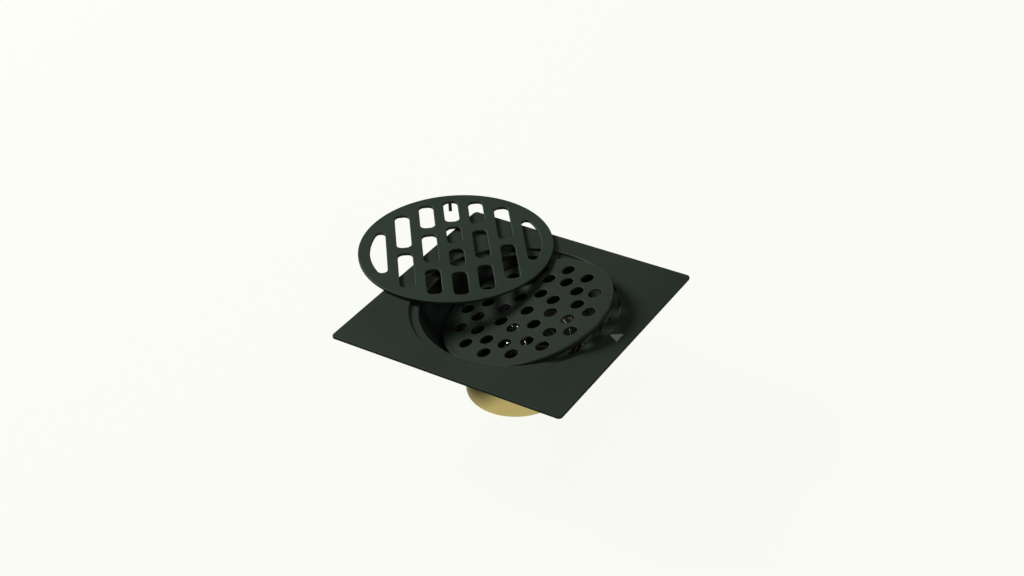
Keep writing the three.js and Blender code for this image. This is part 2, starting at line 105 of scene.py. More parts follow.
# ---------- mesh building ----------
class Build:
    """Collects loops of vertices in millimetres and the faces between them."""

    def __init__(self):
        self.verts, self.wear, self.faces, self.finish = [], [], [], []

    def loop(self, points, wear=0.0):
        start = len(self.verts)
        self.verts += [Vector(p) for p in points]
        self.wear += [wear] * len(points)
        return list(range(start, len(self.verts)))

    def face(self, ids, finish=0):
        self.faces.append(ids)
        self.finish.append(finish)

    def bridge(self, a, b, finish=0):
        """Joins two closed loops of the same length with a band of faces."""
        for i in range(len(a)):
            j = (i + 1) % len(a)
            self.face([a[i], a[j], b[j], b[i]], finish)

    def fan(self, ring, tip):
        """Closes a loop with triangles that meet at the vertex tip."""
        for i, v in enumerate(ring):
            self.face([v, ring[(i + 1) % len(ring)], tip])

    def cap(self, outer, holes=()):
        """Fills the flat region between an outer loop and hole loops."""
        rings = (outer, *holes)
        ids = [v for ring in rings for v in ring]
        home = [k for k, ring in enumerate(rings) for _ in ring]
        flat = [self.verts[v].xy for v in ids]
        edges, start = [], 0
        for ring in rings:
            n = len(ring)
            edges += [(start + i, start + (i + 1) % n) for i in range(n)]
            start += n
        # output type 1 gives only the triangles inside the outer loop, those in the holes included
        _, _, triangles, origin, _, _ = geometry.delaunay_2d_cdt(flat, edges, [], 1, TINY)
        for triangle in triangles:
            corners = [origin[v][0] for v in triangle]
            k = home[corners[0]]
            if k and all(home[c] == k for c in corners):
                centre = sum((flat[c] for c in corners), Vector((0, 0))) / 3
                if inside(centre, [self.verts[v].xy for v in rings[k]]):
                    continue
            self.face([ids[c] for c in corners])

    def turn(self, outline, segs, closed=True):
        """Turns an outline of (r, z, wear) about Z and returns its loops."""
        loops = []
        for r, z, wear in outline:
            loops.append(self.loop([(0, 0, z)] if r < TINY else circle(r, z, segs), wear))
        for a, b in zip(loops, loops[1:] + (loops[:1] if closed else [])):
            if len(a) > 1 and len(b) > 1:
                self.bridge(a, b)
            elif len(a) > 1:
                self.fan(a, b[0])
            elif len(b) > 1:
                self.fan(b, a[0])
        return loops

    def object(self, name, materials, place=None, sharp=50):
        """The finished mesh, its edges sharp where faces meet at more than that many degrees."""
        mesh = bpy.data.meshes.new(name)
        place = place or Matrix.Identity(4)
        mesh.from_pydata([place @ v * MM for v in self.verts], [], self.faces)
        attribute = mesh.attributes.new("wear", "FLOAT", "POINT")
        attribute.data.foreach_set("value", self.wear)
        for material in materials:
            mesh.materials.append(material)
        mesh.polygons.foreach_set("material_index", self.finish)
        bm = bmesh.new()
        bm.from_mesh(mesh)
        bmesh.ops.recalc_face_normals(bm, faces=bm.faces)
        bm.to_mesh(mesh)
        bm.free()
        mesh.polygons.foreach_set("use_smooth", [True] * len(mesh.polygons))
        mesh.set_sharp_from_angle(angle=math.radians(sharp))
        obj = bpy.data.objects.new(name, mesh)
        bpy.context.scene.collection.objects.link(obj)
        weighted = obj.modifiers.new("flat faces stay flat", "WEIGHTED_NORMAL")
        weighted.weight = 100
        weighted.keep_sharp = True
        return obj


def inside(point, ring):
    """Whether a flat point lies inside a closed outline."""
    odd = False
    for p, q in zip(ring, ring[1:] + ring[:1]):
        if (p.y > point.y) != (q.y > point.y):
            if point.x < p.x + (point.y - p.y) * (q.x - p.x) / (q.y - p.y):
                odd = not odd
    return odd


def circle(r, z, segs):
    return [(r * math.cos(TAU * i / segs), r * math.sin(TAU * i / segs), z) for i in range(segs)]


def rounded(corners, step=14):
    """Closed outline of (r, z, radius) corners with each corner rounded: points of (r, z, wear)."""
    n = len(corners)
    turn_sign = 1 if sum(
        corners[i][0] * corners[(i + 1) % n][1] - corners[(i + 1) % n][0] * corners[i][1] for i in range(n)
    ) > 0 else -1
    out = []
    for i, (x, z, radius) in enumerate(corners):
        here = Vector((x, z))
        to_a = Vector(corners[i - 1][:2]) - here
        to_b = Vector(corners[(i + 1) % n][:2]) - here
        if radius <= 0 or to_a.length < TINY or to_b.length < TINY:
            out.append((x, z, 0.0))
            continue
        a, b = to_a.normalized(), to_b.normalized()
        angle = a.angle(b)
        if angle > NEARLY_STRAIGHT:
            out.append((x, z, 0.0))
            continue
        back = min(radius / math.tan(angle / 2), CORNER_SHARE * to_a.length, CORNER_SHARE * to_b.length)
        radius = back * math.tan(angle / 2)
        centre = here + (a + b).normalized() * (radius / math.sin(angle / 2))
        start, end = here + a * back - centre, here + b * back - centre
        sweep = start.angle_signed(end)
        count = max(2, math.ceil(abs(math.degrees(sweep)) / step))
        convex = (a.x * b.y - a.y * b.x) * turn_sign < 0
        for k in range(count + 1):
            t = k / count
            p = centre + Matrix.Rotation(-sweep * t, 2) @ start
            out.append((p.x, p.y, math.sin(math.pi * t) if convex else 0.0))
    return out


def lathe(name, corners, materials, segs=ROUND, step=14):
    """A turned piece from a closed outline of (r, z, radius) corners."""
    build = Build()
    build.turn(rounded(corners, step), segs)
    return build.object(name, materials)


def rounded_box(x0, x1, y0, y1, r, steps=8):
    """Closed outline of a rectangle with round corners, counter-clockwise."""
    points = []
    corners = ((x1 - r, y0 + r, -90), (x1 - r, y1 - r, 0), (x0 + r, y1 - r, 90), (x0 + r, y0 + r, 180))
    for cx, cy, first in corners:
        for i in range(steps + 1):
            t = math.radians(first + 90 * i / steps)
            points.append((cx + r * math.cos(t), cy + r * math.sin(t)))
    return points


def edge_loops(build, outline, z0, z1, low, high, steps=4):
    """Loops up a wall from z0 to z1, its edges rounded by the radii low and high.

    outline(d) is the wall's outline moved d into open air. Returns the lowest and the highest loop.
    """
    loops = []
    for lower in (True, False):
        for i in range(steps + 1):
            c, s = math.cos(math.pi / 2 * i / steps), math.sin(math.pi / 2 * i / steps)
            z, d = (z0 + low * (1 - c), low * (s - 1)) if lower else (z1 - high * (1 - s), high * (c - 1))
            loops.append(build.loop([(x, y, z) for x, y in outline(d)], math.sin(math.pi * i / steps)))
    for a, b in zip(loops, loops[1:]):
        build.bridge(a, b)
    return loops[0], loops[-1]


def threaded(build, last, z0, z1, pitch, sides, radius):
    """Carries the loop last up a thread from z0 to z1 and returns the loop at its top.

    radius(wave, i, left) gives the radius, where wave runs from 0 to 1 and back across a pitch, i
    counts the steps made and left the steps to come.
    """
    steps = int((z1 - z0) / pitch * 8)
    for i in range(1, steps + 1):
        z = z0 + (z1 - z0) * i / steps
        points = []
        for k in range(sides):
            a = TAU * k / sides
            r = radius(abs(((z / pitch - k / sides) % 1) * 2 - 1), i, steps - i)
            points.append((r * math.cos(a), r * math.sin(a), z))
        ring = build.loop(points)
        build.bridge(last, ring)
        last = ring
    return last


# ---------- materials ----------
MIX_A, MIX_B, MIX_RESULT = 6, 7, 2      # a Mix node's colour sockets; other sockets have the same names


class Shader:
    """A material whose nodes all feed one Principled shader."""

    def __init__(self, name, **fixed):
        self.material = bpy.data.materials.new(name)
        self.material.use_nodes = True
        self.tree = self.material.node_tree
        self.tree.nodes.clear()
        self.bsdf = self.add("ShaderNodeBsdfPrincipled", fixed)
        out = self.add("ShaderNodeOutputMaterial")
        self.tree.links.new(self.bsdf.outputs[0], out.inputs[0])
        self.where = self.add("ShaderNodeTexCoord").outputs["Object"]

    def add(self, kind, inputs=None, **props):
        """A new node; each input is a value or the socket that feeds it."""
        node = self.tree.nodes.new(kind)
        for key, value in props.items():
            setattr(node, key, value)
        for key, value in (inputs or {}).items():
            if isinstance(value, bpy.types.NodeSocket):
                self.tree.links.new(value, node.inputs[key])
            else:
                node.inputs[key].default_value = value
        return node

    def noise(self, size_mm, detail=2.0, stretch=(1, 1, 1)):
        """Noise with features about size_mm across, drawn out along an axis by a small stretch number."""
        where = self.where
        if stretch != (1, 1, 1):
            where = self.add("ShaderNodeMapping", {"Vector": where, "Scale": stretch}).outputs[0]
        inputs = {"Vector": where, "Scale": 1 / (size_mm * MM), "Detail": detail}
        return self.add("ShaderNodeTexNoise", inputs).outputs["Fac"]

    def span(self, value, low, high, start=0.0, end=1.0):
        """Maps low to high onto start to end."""
        inputs = {"Value": value, "From Min": low, "From Max": high, "To Min": start, "To Max": end}
        return self.add("ShaderNodeMapRange", inputs).outputs[0]

    def math(self, operation, a, b):
        return self.add("ShaderNodeMath", {0: a, 1: b}, operation=operation).outputs[0]

    def blend(self, share, a, b):
        """Colour a, with that share of colour b mixed in."""
        a, b = (c if isinstance(c, bpy.types.NodeSocket) else (*c, 1) for c in (a, b))
        node = self.add("ShaderNodeMix", {"Factor": share, MIX_A: a, MIX_B: b}, data_type="RGBA")
        return node.outputs[MIX_RESULT]

    def wear(self):
        return self.add("ShaderNodeAttribute", attribute_name="wear").outputs["Fac"]

    def bump(self, height, depth_mm, strength):
        inputs = {"Height": height, "Distance": depth_mm * MM, "Strength": strength}
        return self.add("ShaderNodeBump", inputs).outputs[0]

    def set(self, **sockets):
        """Feeds the Principled shader's sockets: base_color is "Base Color", and so on."""
        for key, value in sockets.items():
            self.tree.links.new(value, self.bsdf.inputs[key.replace("_", " ").title()])
        return self.material


MIDDLE = (0.3, 0.7)                 # most of a noise's values lie between these
TURNING = (0.004, 0.004, 1)         # stretches noise into lines round the axis
COAT_TINT = (0.8, 1.0, 0.82, 1)     # colour of the coating's reflections
COAT_ROUGH = (0.5, 0.6)
COAT_RUB_AND_HIGHLIGHT = (0.075, 0.08, 0.062)    # colour of the edges: rubbed wear, and a painted edge highlight
COAT_FLECK = 1.9                    # how much brighter the grain's peaks are
BLACK_END_Z, BLACK_FADE, BLACK_SCATTER = 20.5, 1.2, 2.2    # end of the near-black painted shade in the bowl, its fade, its scatter


def coating(name, dark, light, level=0.05):
    """Satin black coating on metal: fine grain, slow cloudiness, and lighter, glossier edges that are partly
    rubbed wear and partly a painted highlight.
    """
    s = Shader(name, **{"Specular IOR Level": level, "Specular Tint": COAT_TINT})
    grain, cloud, smear = s.noise(0.22, 3), s.noise(34, 3), s.noise(6, 4, (1, 0.25, 1))
    base = s.blend(s.span(cloud, *MIDDLE), dark, light)
    base = s.blend(s.span(grain, 0.55, 0.85, 0, 0.35), base, tuple(COAT_FLECK * c for c in light))
    # lighter edges: partly rubbed wear, partly a painted edge highlight
    rub_and_highlight = s.math("MULTIPLY", s.wear(), s.span(s.noise(5, 3), *MIDDLE, 0.45, 1))
    base = s.blend(s.span(rub_and_highlight, 0.15, 0.9, 0, 0.6), base, COAT_RUB_AND_HIGHLIGHT)
    gloss = s.math("ADD", s.span(smear, *MIDDLE, *COAT_ROUGH), s.span(grain, *MIDDLE, -0.03, 0.03))
    gloss = s.math("SUBTRACT", gloss, s.span(rub_and_highlight, 0.1, 1.0, 0, 0.1))
    return s.set(base_color=base, roughness=gloss, normal=s.bump(grain, 0.006, 0.8))


def turned_metal(name, base, tarnish, rough):
    """Bare metal with fine turning lines round the axis and uneven tarnish."""
    s = Shader(name, Metallic=1.0)
    lines = s.noise(0.12, 2, TURNING)
    cloud, spots = s.noise(16, 4), s.noise(2.4, 4)
    share = s.math("MULTIPLY", s.span(cloud, 0.35, 0.7), s.span(spots, 0.25, 0.75, 0.5, 1))
    colour = s.blend(s.math("MULTIPLY", share, 0.5), base, tarnish)
    colour = s.blend(s.span(lines, 0.4, 0.7, 0, 0.14), colour, tarnish)
    colour = s.blend(s.span(s.wear(), 0.2, 1, 0, 0.35), colour, base)
    gloss = s.math("ADD", s.span(cloud, *MIDDLE, *rough), s.span(lines, *MIDDLE, -0.05, 0.05))
    return s.set(base_color=colour, roughness=gloss, normal=s.bump(lines, 0.002, 0.7))


def shaded_bowl_inside():
    """The bowl's inside: near-black down to a ragged line, then darkened bare brass towards the bottom; both
    are painted shade deep in the bowl.
    """
    s = Shader("bowl_inside_shade", **{"Specular IOR Level": 0.12})
    height = s.add("ShaderNodeSeparateXYZ", {0: s.where}).outputs["Z"]
    scatter = BLACK_SCATTER * MM
    # a ragged line where the painted shade's black gives way to brass
    ragged_height = s.math("ADD", height, s.span(s.noise(BLACK_SCATTER, 5), 0.2, 0.8, -scatter, scatter))
    bare = s.span(ragged_height, BLACK_END_Z * MM, (BLACK_END_Z + BLACK_FADE) * MM, 1, 0)
    lines, cloud = s.noise(0.3, 2, TURNING), s.noise(7, 4)
    # brass darkened far below the outer brass: painted shade deep in the bowl
    brass = s.blend(s.span(cloud, 0.35, 0.7), (0.3, 0.19, 0.07), (0.17, 0.1, 0.035))
    # near-black: painted shade inside the bowl
    black = s.blend(s.span(cloud, *MIDDLE), (0.012, 0.016, 0.013), (0.018, 0.024, 0.019))
    return s.set(base_color=s.blend(bare, black, brass), metallic=bare,
                 roughness=s.span(cloud, *MIDDLE, 0.38, 0.5), normal=s.bump(lines, 0.006, 0.5))


def plastic():
    s = Shader("moulded_plastic", IOR=1.49)
    grain, cloud = s.noise(0.35, 3), s.noise(9, 3)
    base = s.blend(s.span(cloud, *MIDDLE), (0.018, 0.019, 0.019), (0.03, 0.031, 0.03))
    base = s.blend(s.span(s.wear(), 0.3, 1, 0, 0.4), base, (0.07, 0.07, 0.068))
    gloss = s.span(cloud, *MIDDLE, 0.38, 0.5)
    return s.set(base_color=base, roughness=gloss, normal=s.bump(grain, 0.006, 0.6))


def rubber():
    s = Shader("black_rubber", IOR=1.5)
    grain, bloom = s.noise(0.18, 4), s.noise(3, 5)
    base = s.blend(s.span(bloom, 0.45, 0.8, 0, 0.5), (0.012, 0.012, 0.013), (0.05, 0.05, 0.048))
    gloss = s.span(bloom, *MIDDLE, 0.6, 0.8)
    return s.set(base_color=base, roughness=gloss, normal=s.bump(grain, 0.012, 0.8))


def ground_mark():
    """The lighter, scratched floor of the engraved triangle."""
    s = Shader("engraved_floor", Metallic=0.2)
    scratch = s.noise(0.5, 3, (0.15, 1, 1))
    base = s.blend(s.span(scratch, *MIDDLE), (0.17, 0.20, 0.17), (0.24, 0.28, 0.24))
    gloss = s.span(scratch, *MIDDLE, 0.45, 0.6)
    return s.set(base_color=base, roughness=gloss, normal=s.bump(scratch, 0.01, 0.5))


PANEL_COAT = coating("panel_coat", (0.0180, 0.0245, 0.0180), (0.0220, 0.0300, 0.0220))
COVER_COAT = coating("cover_coat", (0.0200, 0.0290, 0.0208), (0.0243, 0.0347, 0.0250))
STRAINER_COAT = coating("strainer_coat", (0.0165, 0.0228, 0.0165), (0.0205, 0.0280, 0.0205), 0.03)
BRASS = turned_metal("brass", (0.92, 0.76, 0.30), (0.74, 0.56, 0.20), (0.24, 0.33))
BOWL_INSIDE_SHADE = shaded_bowl_inside()
STEEL = turned_metal("steel", (0.66, 0.67, 0.68), (0.46, 0.46, 0.46), (0.2, 0.3))
PLASTIC = plastic()
RUBBER = rubber()
MARK = ground_mark()


# ---------- panel ----------
def make_panel():
    """The square sheet with its pressed recess, the ledge round the opening and the engraved triangle."""
    half, low = PANEL_HI.x, PANEL_LO.z
    ledge, under = TOP_Z - RECESS_DEPTH, TOP_Z - SHEET_T
    far = 60.0      # the profile is cut open here, where the flat top and underside take over
    outline = rounded([
        (OPENING_R, low, 0.2), (OPENING_R, ledge, 0.5), (RECESS_R, ledge, 0.3),
        (RECESS_R, TOP_Z, RECESS_ROLL), (far, TOP_Z, 0), (far, under, 0),
        (RECESS_R + SHEET_T, under, 0.4), (RECESS_R + SHEET_T, low, 0.7),
    ], step=11)
    cut = [i for i, p in enumerate(outline) if p[0] == far]
    outline = outline[cut[1] + 1:] + outline[:cut[0]]
    build = Build()
    rings = build.turn(outline, ROUND, closed=False)

    def square(d):
        return rounded_box(-half - d, half + d, -half - d, half + d, PANEL_CORNER_R + d, 10)

    low_edge, high_edge = edge_loops(build, square, under, TOP_Z, *PANEL_EDGES)
    along, across = MARK_SIZE[0] / 2, MARK_SIZE[1] / 2

    def mark(d, z):
        """The triangle at height z, its sides moved out by about d."""
        return build.loop([(MARK_AT - along - 1.6 * d, MARK_ASIDE, z),
                           (MARK_AT + along + d, MARK_ASIDE - across - 1.4 * d, z),
                           (MARK_AT + along + d, MARK_ASIDE + across + 1.4 * d, z)])

    lip, floor = mark(0.06, TOP_Z), mark(-0.06, TOP_Z - MARK_DEPTH)
    build.bridge(lip, floor, 1)
    build.face(floor, 1)
    build.cap(high_edge, [rings[-1], lip])
    build.cap(low_edge, [rings[0]])
    return build.object("panel_sheet", [PANEL_COAT, MARK])


# ---------- cover ----------
def slot_reach(u, corner):
    """How far a slot whose outer side is u from the middle runs before its corner leaves the slotted zone."""
    return corner + math.sqrt((SLOT_ZONE_R - corner) ** 2 - (u - corner) ** 2)


def side_slot(side, d, steps=8):
    """Outline of the slot at the side, grown by d."""
    chord = 3 * SLOT_PITCH - SLOT_W / 2 - d
    c, zone = SIDE_SLOT_CORNER_R + d, SLOT_ZONE_R + d
    cx = chord + c
    cy = math.sqrt((zone - c) ** 2 - cx ** 2)
    swing = math.atan2(cy, cx)
    points = []
    for i in range(steps + 1):
        a = math.pi + (math.pi - swing) * i / steps
        points.append((cx + c * math.cos(a), -cy + c * math.sin(a)))
    for i in range(1, 4 * steps):
        a = -swing + 2 * swing * i / (4 * steps)
        points.append((zone * math.cos(a), zone * math.sin(a)))
    for i in range(steps + 1):
        a = swing + (math.pi - swing) * i / steps
        points.append((cx + c * math.cos(a), cy + c * math.sin(a)))
    return [(side * x, side * y) for x, y in points]


def make_cover():
    """The round cover: rows of four, three and two slots, and one curved slot at each side."""
    lo, hi = box_mm("cover_grille")
    radius = min(hi.x - lo.x, hi.y - lo.y) / 2
    build = Build()
    outlines = []
    for step, count in ((0, 4), (1, 3), (2, 2)):
        reach = slot_reach(step * SLOT_PITCH + SLOT_W / 2, SLOT_CORNER_R)
        outer = {2: BRIDGE / 2, 3: MIDDLE_OF_THREE + BRIDGE_OF_THREE, 4: INNER_OF_FOUR + BRIDGE}[count]
        spans = [(outer, reach), (-reach, -outer)]
        if count == 3:
            spans.append((-MIDDLE_OF_THREE, MIDDLE_OF_THREE))
        if count == 4:
            spans += [(BRIDGE / 2, INNER_OF_FOUR), (-INNER_OF_FOUR, -BRIDGE / 2)]
        for side in ((-1, 1) if step else (1,)):
            u = side * step * SLOT_PITCH
            for a, b in spans:
                outlines.append(lambda d, u=u, a=a, b=b: rounded_box(
                    u - SLOT_W / 2 + d, u + SLOT_W / 2 - d, a + d, b - d, SLOT_CORNER_R - d))
    for side in (-1, 1):
        outlines.append(lambda d, side=side: side_slot(side, -d))

    def disc(d):
        return [p[:2] for p in circle(radius + d, 0, ROUND)]

    rim = edge_loops(build, disc, lo.z, hi.z, *COVER_EDGES, 5)
    walls = [edge_loops(build, outline, lo.z, hi.z, *SLOT_EDGES) for outline in outlines]
    build.cap(rim[0], [w[0] for w in walls])
    build.cap(rim[1], [w[1] for w in walls])
    middle = (lo + hi) / 2
    place = Matrix.Translation((middle.x, middle.y, 0)) @ Matrix.Rotation(COVER_TURN - math.pi / 2, 4, "Z")
    return build.object("cover_plate", [COVER_COAT], place)


def make_lug(node, name):
    """A small bar staked into the cover, its foot flared against it and its tip rounded."""
    lo, hi = box_mm(node)
    middle = (lo + hi) / 2
    top = box_mm("cover_grille")[0].z
    build = Build()
    loops = []
    for z, grow, wear in ((lo.z, -0.3, 0.4), (lo.z + 0.1, -0.1, 1), (lo.z + 0.3, 0, 0.3), (top - 0.6, 0, 0),
                          (top - 0.25, 0.06, 0), (top - 0.08, 0.2, 0), (top, 0.4, 0)):
        half = LUG_HALF + grow
        square = rounded_box(-half, half, -half, half, 0.3 + max(grow, -0.1), 4)
        loops.append(build.loop([(x, y, z) for x, y in square], wear))
    for a, b in zip(loops, loops[1:]):
        build.bridge(a, b)
    build.cap(loops[0])
    build.cap(loops[-1])
    place = Matrix.Translation((middle.x, middle.y, 0)) @ Matrix.Rotation(COVER_TURN, 4, "Z")
    return build.object(name, [COVER_COAT], place)


# ---------- strainer ----------
def strainer_place():
    """Matrix from the strainer's own frame, its top at z = 0, to where the CAD part leans."""
    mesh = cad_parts["strainer_disc"].data
    areas = {}
    for p in mesh.polygons:
        key = tuple(round(c, 3) for c in p.normal)
        areas.setdefault(key, [0.0, Vector(), set()])
        areas[key][0] += p.area
        areas[key][1] += p.normal * p.area
        areas[key][2] |= set(p.vertices)
    _, total, ids = max((a for k, a in areas.items() if k[2] > 0), key=lambda a: a[0])
    normal = total.normalized()
    across = (Vector((1, 0, 0)) - normal * normal.x).normalized()
    turn = Matrix((across, normal.cross(across), normal)).transposed()
    local = [turn.transposed() @ mesh.vertices[i].co / MM for i in ids]
    centre = [(min(p[k] for p in local) + max(p[k] for p in local)) / 2 for k in range(3)]
    return turn.to_4x4() @ Matrix.Translation(centre)


def make_strainer():
    """The dished disc with its rings of round holes."""
    inner = STRAINER_R - STRAINER_T
    start = 1.0     # the two corners at this radius are dropped, and the caps close the disc
    outline = rounded([
        (start, 0, 0), (STRAINER_R, 0, STRAINER_RIM_ROLL), (STRAINER_R, -STRAINER_RIM_H, 0.35),
        (inner, -STRAINER_RIM_H, 0.2), (inner, -STRAINER_T, STRAINER_RIM_ROLL - STRAINER_T),
        (start, -STRAINER_T, 0),
    ], step=10)[1:-1]
    build = Build()
    rings = build.turn(outline, ROUND, closed=False)
    walls = []
    for ring, count, first in STRAINER_RINGS:
        for i in range(count):
            a = math.radians(first) + TAU * i / count
            x, y = ring * math.cos(a), ring * math.sin(a)
            hole = lambda d, x=x, y=y: [(x + p[0], y + p[1]) for p in circle(STRAINER_HOLE_R - d, 0, 36)]
            walls.append(edge_loops(build, hole, -STRAINER_T, 0, *HOLE_EDGES))
    build.cap(rings[0], [w[1] for w in walls])
    build.cap(rings[-1], [w[0] for w in walls])
    return build.object("strainer_dish", [STRAINER_COAT], strainer_place())


# ---------- bowl and spigot ----------
def make_bowl():
    """The bowl: a cone that seats the strainer, the trap's shoulder and a neck round the spigot."""
    lo, hi = box_mm("bowl")
    ledge_under = PANEL_LO.z
    spigot_r = box_mm("outlet_spigot")[1].x
    neck_out = spigot_r + 1.5
    shoulder, shoulder_under, flange_under = lo.z + BOWL_NECK, lo.z + BOWL_NECK - SHEET_T, hi.z - BOWL_FLANGE
    bowl = lathe("bowl_spun", [
        (OPENING_R, ledge_under, 0.15), (OPENING_R, hi.z - 0.8, 2.0),
        (BOWL_CONE_R, shoulder + BOWL_CONE_RISE, 4.0), (BOWL_SEAT_R, shoulder, 1.2),
        (spigot_r + 0.02, shoulder, 0.3), (spigot_r + 0.02, lo.z - 0.35, 0),
        (spigot_r + 0.3, lo.z - 0.28, 0.2), (spigot_r + 0.95, lo.z + 0.1, 0.3),
        (neck_out, lo.z + 0.25, 0.25), (neck_out, shoulder_under, 1.5),
        (BOWL_OUTER_SEAT_R, shoulder_under, 2.0), (BOWL_OUTER_CONE_R, shoulder + BOWL_OUTER_CONE_RISE, 4.0),
        (BOWL_OUTER_R, flange_under, 0.9), (hi.x, flange_under, 0.3), (hi.x, ledge_under, 0.2),
    ], [BOWL_INSIDE_SHADE, BRASS])
    # faces inside the bowl take its painted shade
    for face in bowl.data.polygons:
        outward = face.normal.xy.dot(face.center.xy.normalized())
        on_shoulder = face.normal.z > 0.5 and face.center.z > (shoulder - 0.1) * MM
        face.material_index = 0 if outward < -0.3 or on_shoulder else 1
    return bowl


def make_spigot():
    lo, hi = box_mm("outlet_spigot")
    bore = hi.x - SPIGOT_T
    return lathe("spigot_tube", [
        (bore, lo.z, 0.35), (hi.x, lo.z, 0.4), (hi.x, hi.z, 0.2), (bore, hi.z, 0.3)], [BRASS], step=12)


# ---------- trap ----------
def make_housing():
    """The trap's cup, with a groove for its side ring and a shallow channel in its flange."""
    lo, hi = box_mm("trap_housing")
    floor, flange_under, channel = lo.z + TRAP_MOUTH_T, hi.z - TRAP_FLANGE_T, hi.z - 0.35
    groove_lo, groove_hi = hi.z - GROOVE_DOWN - GROOVE_HALF, hi.z - GROOVE_DOWN + GROOVE_HALF
    return lathe("trap_cup", [
        (TRAP_BORE, hi.z, 0.5), (TRAP_BORE, floor, 0.5), (TRAP_MOUTH_R, floor, 0.3),
        (TRAP_MOUTH_R, lo.z, 0.5), (TRAP_R, lo.z, 1.1), (TRAP_R, groove_lo, 0.15),
        (GROOVE_R, groove_lo, 0.2), (GROOVE_R, groove_hi, 0.2), (TRAP_R, groove_hi, 0.15),
        (TRAP_R, flange_under, 0.3), (hi.x, flange_under, 0.4), (hi.x, hi.z, 0.6),
        (21.6, hi.z, 0.1), (21.2, channel, 0.15), (18.6, channel, 0.15), (18.2, hi.z, 0.1),
    ], [PLASTIC], ROUND_MID)


def make_gasket():
    """The flange's seal, with one sealing rib underneath."""
    lo, hi = box_mm("trap_flange_gasket")
    bore, under = 18.6, lo.z + 0.1
    return lathe("flange_seal", [
        (bore, under, 0.2), (19.6, under, 0.1), (19.8, lo.z, 0.15), (21.2, lo.z, 0.15), (21.4, under, 0.1),
        (hi.x, under, 0.25), (hi.x, hi.z, 0.25), (bore, hi.z, 0.25)], [RUBBER], ROUND_MID)


def make_oring():
    lo, hi = box_mm("trap_side_oring")
    r = (hi.z - lo.z) / 2
    outline = [(hi.x - r + p[0], (hi.z + lo.z) / 2 + p[1], 0) for p in circle(r, 0, 16)]
    build = Build()
    build.turn(outline, ROUND_MID)
    return build.object("side_ring", [RUBBER])


def make_bush():
    lo, hi = box_mm("stem_bush")
    return lathe("guide_bush", [
        (STEM_HOLE_R, lo.z, 0.2), (hi.x, lo.z, 0.25), (hi.x, hi.z, 0.25), (STEM_HOLE_R, hi.z, 0.3)],
        [BRASS], ROUND_SMALL)


def make_spring(turns=3.5, closed_turns=0.75, per_turn=40, sides=12):
    """Compression spring whose end turns lie close, from end to end of the CAD spring's box."""
    lo, hi = box_mm("return_spring")
    dead = closed_turns / turns
    slow = SPRING_WIRE_R * 2.1 * closed_turns
    full = hi.z - lo.z - 2 * SPRING_WIRE_R

    def rise(t):
        """Height of the wire's middle above its lower end, t of the way along the spring."""
        if t < dead:
            return slow * t / dead
        if t > 1 - dead:
            return full - slow * (1 - t) / dead
        return slow + (full - 2 * slow) * ((t - dead) / (1 - 2 * dead))

    build = Build()
    loops = []
    steps = int(turns * per_turn)
    for i in range(steps + 1):
        a, z = TAU * turns * i / steps, lo.z + SPRING_WIRE_R + rise(i / steps)
        out = Vector((math.cos(a), math.sin(a), 0))
        points = []
        for w in (TAU * k / sides for k in range(sides)):
            points.append(out * (SPRING_R + SPRING_WIRE_R * math.cos(w))
                          + Vector((0, 0, z + SPRING_WIRE_R * math.sin(w))))
        loops.append(build.loop(points))
    for a, b in zip(loops, loops[1:]):
        build.bridge(a, b)
    build.face(loops[0])
    build.face(loops[-1])
    return build.object("coil_spring", [STEEL])


# ---------- valve ----------
def make_stem(pitch=0.7, depth=0.28, sides=48):
    """Stem with a rolled thread at its upper end, where the nut sits, and a screw hole in its lower end."""
    lo, hi = box_mm("valve_stem")
    r = (hi.x - lo.x) / 2 * WITHIN
    thread_from = box_mm("spring_retainer")[0].z - 0.6

    def thread_r(wave, i, left):
        fade = min(1, i / 8, left / 4)
        return r - depth * fade * min(1, max(0, (wave - 0.15) / 0.7))

    build = Build()
    rings = build.turn([
        (0, lo.z + 5, 0), (STEM_BORE, lo.z + 4.6, 0), (STEM_BORE, lo.z + 0.2, 0),
        (STEM_BORE + 0.15, lo.z, 0.5), (r - 0.2, lo.z, 0.5), (r, lo.z + 0.25, 0), (r, thread_from, 0),
    ], sides, closed=False)
    last = threaded(build, rings[-1], thread_from, hi.z - 0.35, pitch, sides, thread_r)
    top = build.loop(circle(r - 0.4, hi.z, sides), 0.6)
    build.bridge(last, top)
    build.fan(top, build.loop([(0, 0, hi.z)])[0])
    return build.object("stem_rod", [STEEL])


def make_retainer():
    """The spring's cap, with a shallow channel that centres the spring."""
    lo, hi = box_mm("spring_retainer")
    channel = lo.z + 0.2
    return lathe("spring_cap", [
        (STEM_HOLE_R, lo.z, 0.1), (3.2, lo.z, 0.05), (3.2, channel, 0.1), (4.9, channel, 0.1),
        (4.9, lo.z, 0.05), (hi.x, lo.z, 0.3), (hi.x, hi.z, 0.35), (STEM_HOLE_R, hi.z, 0.15),
    ], [STEEL], ROUND_SMALL)


